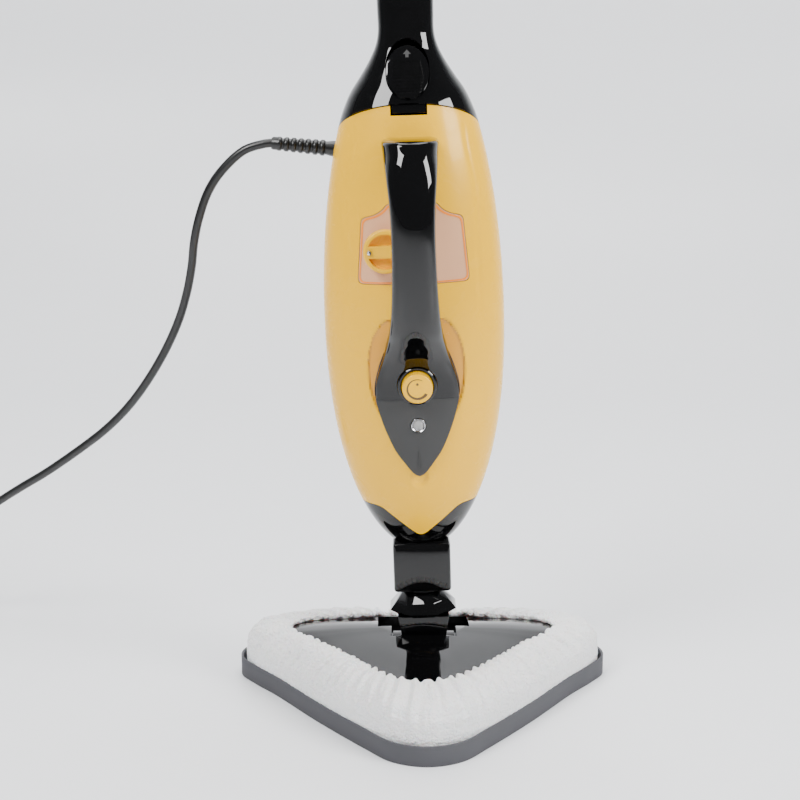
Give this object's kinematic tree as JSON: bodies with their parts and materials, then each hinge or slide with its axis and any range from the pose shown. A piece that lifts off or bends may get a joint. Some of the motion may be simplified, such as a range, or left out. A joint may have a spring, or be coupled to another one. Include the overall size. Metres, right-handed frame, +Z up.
{
  "type": "steam mop",
  "caption": "Upright steam mop: triangular microfibre floor head on a two-way swivel, detachable handheld body with front grip, and a latched pole with cord hooks.",
  "frame": {"origin": "on the floor, on the glider's underside where its two ribs cross, below the swivel's pitch pin", "axes": "+Z up along the pole, -Y towards the grip and the head's tip, +X to the right seen from the front"},
  "size_m": [0.713, 0.4724, 1.1595],
  "materials": {
    "yellow_shell": "glossy injection-moulded yellow plastic",
    "gloss_black": "piano-black glossy plastic",
    "satin_black": "satin black plastic",
    "glider_grey": "dark grey satin plastic",
    "rubber": "soft black rubber and PVC",
    "amber_clear": "amber-tinted clear plastic",
    "clear_lens": "clear moulded lens",
    "microfibre": "white microfibre terry",
    "silicone": "translucent silicone hose",
    "board": "green circuit board",
    "ivory": "ivory technical plastic",
    "steel": "bright steel",
    "brass": "turned brass",
    "aluminium": "cast aluminium",
    "black_tube": "black painted tube"
  },
  "bodies": {
    "carpet_glider": {"carpet_glider": "glider_grey", "cord_coil": "rubber", "cord_tail": "rubber", "plug_body": "rubber", "plug_pin_left": "brass", "plug_pin_right": "brass"},
    "mop_head": {"sole_plate": "satin_black", "head_cover": "gloss_black", "microfibre_pad": "microfibre", "pitch_pin": "steel", "steam_elbow": "brass"},
    "swivel": {"swivel_block": "gloss_black", "roll_pin": "steel"},
    "lower_neck": {"lower_neck": "gloss_black", "skirt_collar": "gloss_black", "neck_seal": "rubber"},
    "handheld": {"front_shell": "yellow_shell", "rear_shell": "satin_black", "lower_cup": "gloss_black", "case_screw_1": "steel", "case_screw_2": "steel", "case_screw_3": "steel", "top_plug": "satin_black", "neck_socket": "gloss_black", "front_grip": "gloss_black", "control_plate": "satin_black", "tank_window": "amber_clear", "water_tank": "amber_clear", "filler_spout": "amber_clear", "boiler": "aluminium", "boiler_lid": "aluminium", "thermostat": "ivory", "pump": "ivory", "pump_mount": "rubber", "control_board": "board", "inlet_hose": "silicone", "pressure_hose": "silicone", "steam_nozzle": "brass", "knob_collar": "gloss_black", "lamp_ring": "steel", "lamp_lens": "clear_lens", "strain_relief": "rubber", "cord_run": "rubber"},
    "steam_knob": {"steam_knob": "yellow_shell", "knob_shaft": "steel"},
    "filler_cap": {"filler_cap": "yellow_shell", "cap_rivet": "steel"},
    "neck_button": {"neck_button": "gloss_black"},
    "pole": {"trumpet_connector": "gloss_black", "connector_panel": "gloss_black", "latch_spring": "steel", "lower_tube": "black_tube", "tube_coupler": "gloss_black", "cord_hook_lower": "gloss_black", "upper_tube": "black_tube", "top_handle": "gloss_black", "grip_sleeve": "rubber"},
    "latch_button": {"latch_button": "gloss_black"},
    "snap_button": {"snap_button": "steel"},
    "upper_hook": {"cord_hook_upper": "gloss_black"}
  },
  "joints": [
    {"name": "head_lift", "type": "slide", "parent": "carpet_glider", "child": "mop_head", "axis": [0, 0, 1], "range_m": [0, 0.04], "deforming": ["cord_run"]},
    {"name": "mop_pitch", "type": "hinge", "parent": "mop_head", "child": "swivel", "pos_m": [0, 0, 0.035], "axis": [-1, 0, 0], "range_deg": [0, 50], "deforming": ["cord_run"]},
    {"name": "mop_roll", "type": "hinge", "parent": "swivel", "child": "lower_neck", "pos_m": [0, 0, 0.06], "axis": [0, 1, 0], "range_deg": [-28, 32], "deforming": ["cord_run"]},
    {"name": "handheld_release", "type": "slide", "parent": "lower_neck", "child": "handheld", "axis": [-0.0314, 0, 0.9995], "range_m": [0, 0.04], "deforming": ["cord_run"]},
    {"name": "steam_turn", "type": "hinge", "parent": "handheld", "child": "steam_knob", "pos_m": [-0.00652, -0.05546, 0.2674], "axis": [0.0033, -0.9945, -0.1045], "range_deg": [-270, 0]},
    {"name": "cap_turn", "type": "hinge", "parent": "handheld", "child": "filler_cap", "pos_m": [-0.03073, -0.05179, 0.36919], "axis": [0, -1, 0], "range_deg": [0, 90]},
    {"name": "neck_press", "type": "slide", "parent": "handheld", "child": "neck_button", "axis": [0, -1, 0], "range_m": [0, 0.0025], "stiffness_N_per_m": 500, "springref_m": -0.002},
    {"name": "pole_release", "type": "slide", "parent": "handheld", "child": "pole", "axis": [-0.0314, 0, 0.9995], "range_m": [0, 0.06]},
    {"name": "latch_slide", "type": "slide", "parent": "pole", "child": "latch_button", "axis": [-0.0287, 0.4067, 0.9131], "range_m": [0, 0.006], "stiffness_N_per_m": 500, "springref_m": -0.003},
    {"name": "snap_press", "type": "slide", "parent": "pole", "child": "snap_button", "axis": [0, -1, 0], "range_m": [0, 0.0035], "stiffness_N_per_m": 500, "springref_m": -0.002},
    {"name": "hook_swivel", "type": "hinge", "parent": "pole", "child": "upper_hook", "pos_m": [-0.02843, 0, 0.96455], "axis": [-0.0314, 0, 0.9995], "range_deg": [0, 180]}
  ]
}
